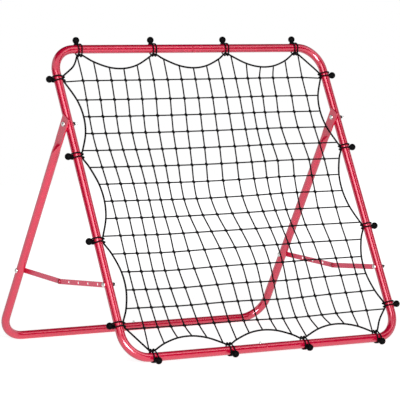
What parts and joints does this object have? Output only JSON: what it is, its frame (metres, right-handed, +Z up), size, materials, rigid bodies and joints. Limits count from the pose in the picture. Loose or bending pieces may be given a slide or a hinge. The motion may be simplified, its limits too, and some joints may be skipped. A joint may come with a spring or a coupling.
{
  "type": "soccer rebounder",
  "caption": "Square steel-tube frame leaning back on a folding U-shaped leg with hinged side braces, its rebound net held taut by elastic ball ties.",
  "frame": {"origin": "on the floor, below the middle of the whole rebounder as it stands open", "axes": "+X to the right along the bars as the player sees the net, +Y from the net back to the leg, +Z up"},
  "size_m": [1.011, 0.7362, 0.8958],
  "materials": {
    "red_powder_coat": "glossy crimson powder coat on steel tube",
    "strap_red": "satin red powder coat on flat steel strap",
    "bright_zinc": "bright zinc-plated bolt",
    "dark_nut": "blackened steel lock nut",
    "spring_steel": "plain spring steel leaf",
    "button_grey": "grey steel snap button",
    "black_plastic": "semi-gloss black moulded ball",
    "black_elastic": "woven black elastic cord",
    "black_twine": "knotted black twine"
  },
  "bodies": {
    "front_frame": {"front_frame_left": "red_powder_coat", "front_frame_right": "red_powder_coat", "pivot_bolt_left": "bright_zinc", "pivot_bolt_right": "bright_zinc", "pivot_nut_left": "dark_nut", "pivot_nut_right": "dark_nut", "front_brace_bolt_left": "bright_zinc", "front_brace_bolt_right": "bright_zinc", "snap_spring_front": "spring_steel", "net_mesh": "black_twine", "border_rope": "black_elastic", "tie_ball_top_1": "black_plastic", "tie_ball_top_2": "black_plastic", "tie_ball_top_3": "black_plastic", "tie_ball_top_4": "black_plastic", "tie_ball_bottom_1": "black_plastic", "tie_ball_bottom_2": "black_plastic", "tie_ball_bottom_3": "black_plastic", "tie_ball_bottom_4": "black_plastic", "tie_ball_left_1": "black_plastic", "tie_ball_left_2": "black_plastic", "tie_ball_left_3": "black_plastic", "tie_ball_left_4": "black_plastic", "tie_ball_right_1": "black_plastic", "tie_ball_right_2": "black_plastic", "tie_ball_right_3": "black_plastic", "tie_ball_right_4": "black_plastic", "tie_loop_top_1": "black_elastic", "tie_loop_top_2": "black_elastic", "tie_loop_top_3": "black_elastic", "tie_loop_top_4": "black_elastic", "tie_loop_bottom_1": "black_elastic", "tie_loop_bottom_2": "black_elastic", "tie_loop_bottom_3": "black_elastic", "tie_loop_bottom_4": "black_elastic", "tie_loop_left_1": "black_elastic", "tie_loop_left_2": "black_elastic", "tie_loop_left_3": "black_elastic", "tie_loop_left_4": "black_elastic", "tie_loop_right_1": "black_elastic", "tie_loop_right_2": "black_elastic", "tie_loop_right_3": "black_elastic", "tie_loop_right_4": "black_elastic"},
    "rear_frame": {"rear_frame_left": "red_powder_coat", "rear_frame_right": "red_powder_coat", "rear_brace_bolt_left": "bright_zinc", "rear_brace_bolt_right": "bright_zinc", "snap_spring_rear": "spring_steel"},
    "front_strap_left": {"perforated_strap_left": "strap_red", "knee_bolt_left": "bright_zinc"},
    "rear_strap_left": {"plain_strap_left": "strap_red", "knee_nut_left": "dark_nut"},
    "front_strap_right": {"plain_strap_right": "strap_red", "knee_bolt_right": "bright_zinc"},
    "rear_strap_right": {"perforated_strap_right": "strap_red", "knee_nut_right": "dark_nut"},
    "front_button": {"snap_button_front": "button_grey"},
    "rear_button": {"snap_button_rear": "button_grey"}
  },
  "joints": [
    {"name": "leg_fold", "type": "hinge", "parent": "front_frame", "child": "rear_frame", "pos_m": [0, -0.02721, 0.65171], "axis": [-1, 0, 0], "range_deg": [0, 36]},
    {"name": "front_strap_left_turn", "type": "hinge", "parent": "front_frame", "child": "front_strap_left", "pos_m": [-0.4815, -0.2366, 0.21469], "axis": [-1, 0, 0], "range_deg": [0, 76.4]},
    {"name": "rear_strap_left_turn", "type": "hinge", "parent": "rear_frame", "child": "rear_strap_left", "pos_m": [-0.4688, 0.23263, 0.21811], "axis": [-1, 0, 0], "range_deg": [-90, 0]},
    {"name": "front_strap_right_turn", "type": "hinge", "parent": "front_frame", "child": "front_strap_right", "pos_m": [0.4535, -0.2366, 0.21469], "axis": [-1, 0, 0], "range_deg": [0, 98.8]},
    {"name": "rear_strap_right_turn", "type": "hinge", "parent": "rear_frame", "child": "rear_strap_right", "pos_m": [0.4662, 0.23263, 0.21811], "axis": [-1, 0, 0], "range_deg": [-67.6, 0]},
    {"name": "front_button_press", "type": "slide", "parent": "front_frame", "child": "front_button", "axis": [0, 0, 1], "range_m": [-0.005, 0], "stiffness_N_per_m": 1500, "springref_m": 0.0005, "deforming": ["snap_spring_front"]},
    {"name": "rear_button_press", "type": "slide", "parent": "rear_frame", "child": "rear_button", "axis": [0, 0, 1], "range_m": [-0.005, 0], "stiffness_N_per_m": 1500, "springref_m": 0.0005, "deforming": ["snap_spring_rear"]}
  ],
  "couplings": [
    {"joint": "front_strap_left_turn", "follows": "leg_fold", "ratio": 2.1166},
    {"joint": "rear_strap_left_turn", "follows": "leg_fold", "ratio": -2.4942},
    {"joint": "front_strap_right_turn", "follows": "leg_fold", "ratio": 2.7386},
    {"joint": "rear_strap_right_turn", "follows": "leg_fold", "ratio": -1.8722}
  ]
}
